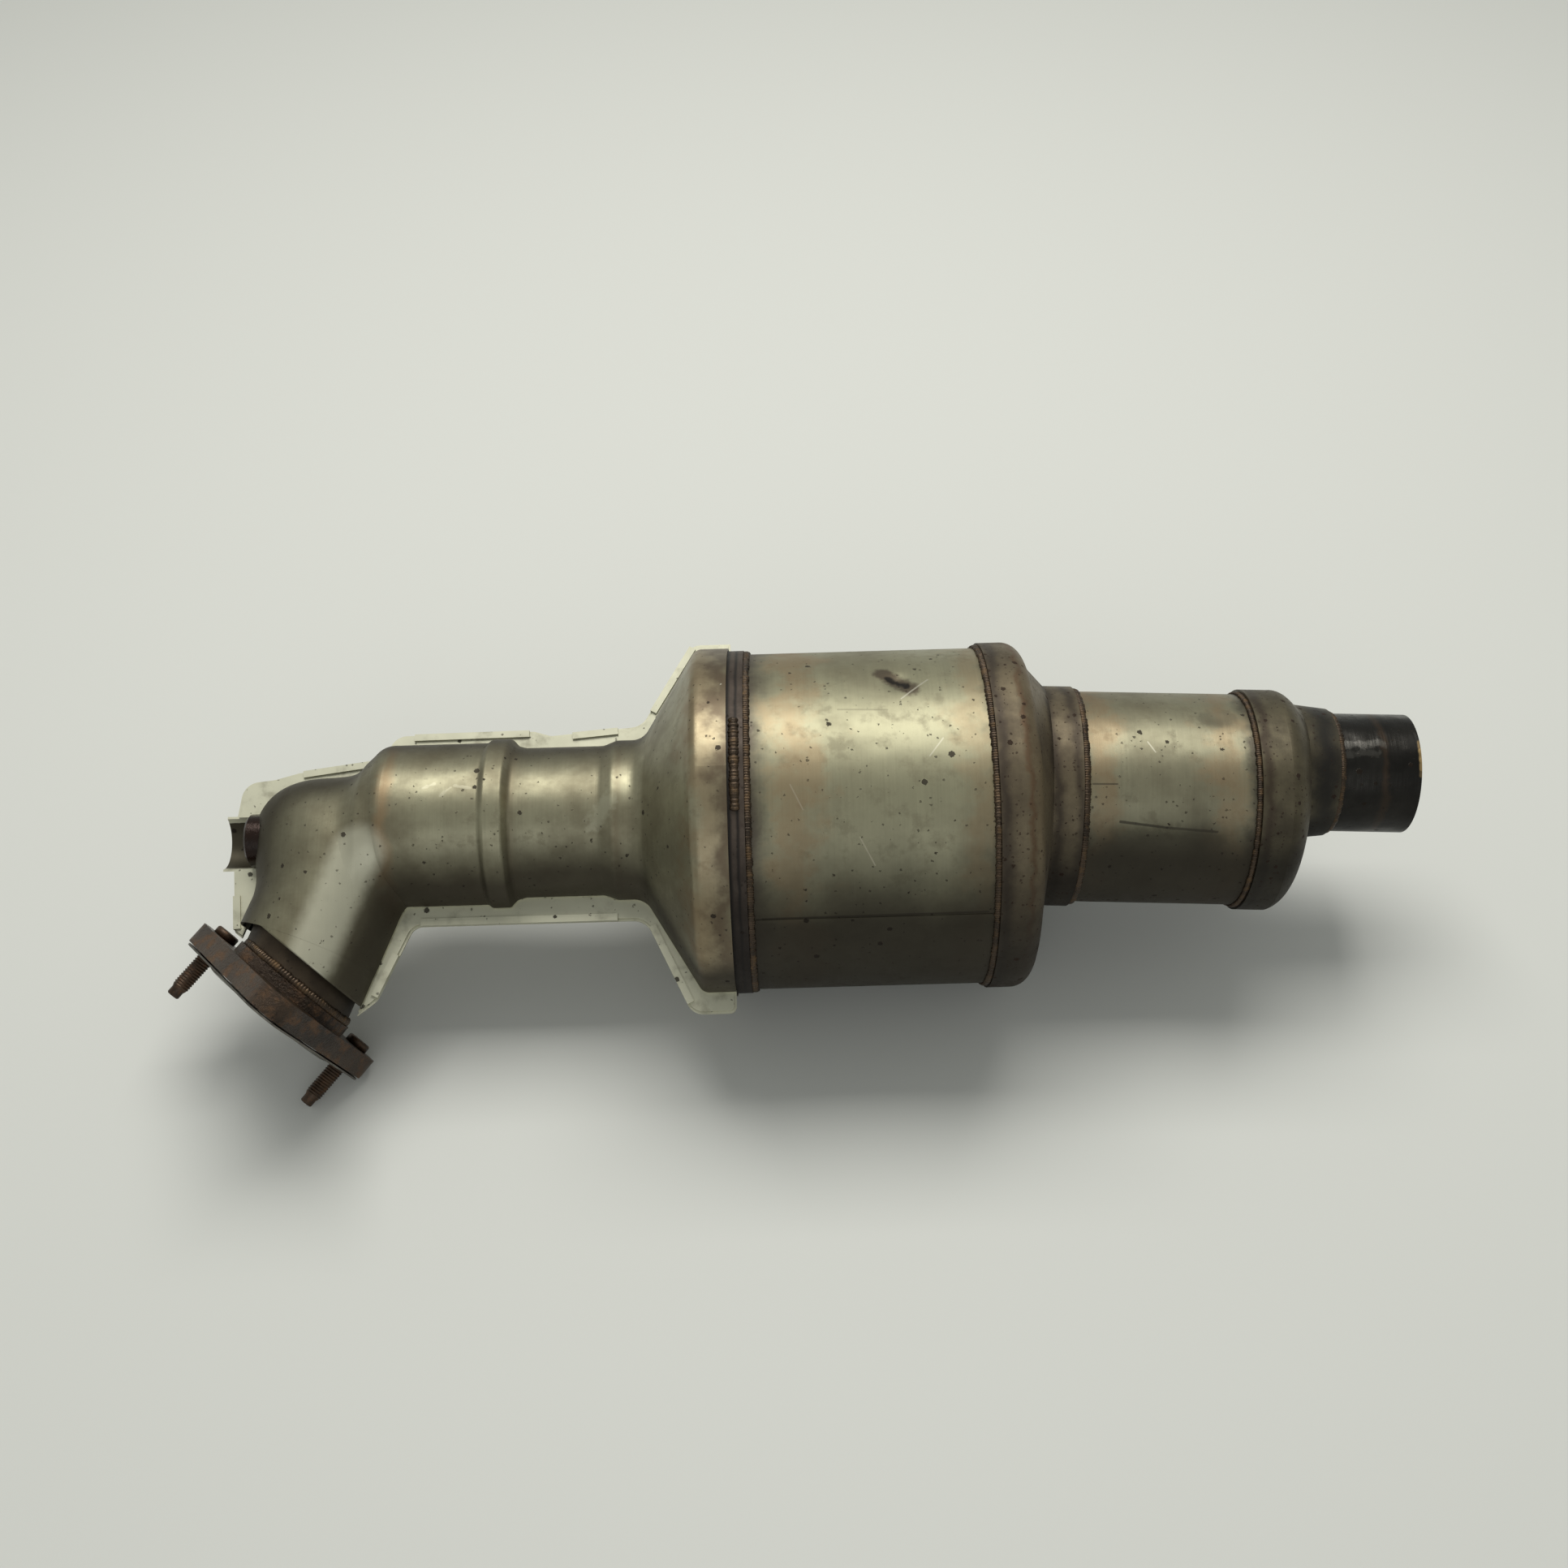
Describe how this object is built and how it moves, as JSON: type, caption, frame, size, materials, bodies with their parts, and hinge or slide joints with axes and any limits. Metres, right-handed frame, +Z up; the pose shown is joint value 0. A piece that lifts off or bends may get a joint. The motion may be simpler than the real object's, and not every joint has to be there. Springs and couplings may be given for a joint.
{
  "type": "catalytic converter",
  "caption": "Automotive exhaust part: large and small steel cans in line, heat-shielded bent inlet with studded flange and sensor boss, plain outlet pipe.",
  "frame": {"origin": "centre of the inlet flange's sealing face, on the axis of its bore", "axes": "+X runs along the front can from inlet to outlet; +Z up, with the part lying as it comes to rest on its cans and the flange's lowest lobe"},
  "size_m": [0.5619, 0.1894, 0.1577],
  "materials": {
    "flange_steel": "dark, lightly rusted",
    "stud_steel": "rusty thread",
    "gasket_steel": "thin pressed sheet",
    "weld_steel": "heat-tinted bead",
    "pipe_steel": "dark drawn tube",
    "boss_steel": "dark, glossy",
    "can_steel": "heat-tinted stainless sheet",
    "shield_steel": "pressed stainless sheet, heat-tinted",
    "mat_fibre": "ceramic fibre",
    "ceramic": "extruded ceramic, fine cells"
  },
  "bodies": {
    "root": {"inlet_flange": "flange_steel", "flange_studs": "stud_steel", "inlet_gasket": "gasket_steel", "flange_weld": "weld_steel", "inlet_pipe": "pipe_steel", "sensor_boss": "boss_steel", "inlet_cone": "can_steel", "upper_shield": "shield_steel", "lower_shield": "shield_steel", "shield_slot_weld": "weld_steel", "front_can": "can_steel", "front_can_weld": "weld_steel", "can_seam_weld": "weld_steel", "front_mat": "mat_fibre", "front_monolith": "ceramic", "step_front_weld": "weld_steel", "transition_cone": "can_steel", "step_rear_weld": "weld_steel", "rear_can": "can_steel", "rear_mat": "mat_fibre", "rear_monolith": "ceramic", "outlet_cone_weld": "weld_steel", "outlet_cone": "can_steel", "outlet_pipe_weld": "weld_steel", "outlet_pipe": "pipe_steel"}
  },
  "joints": []
}
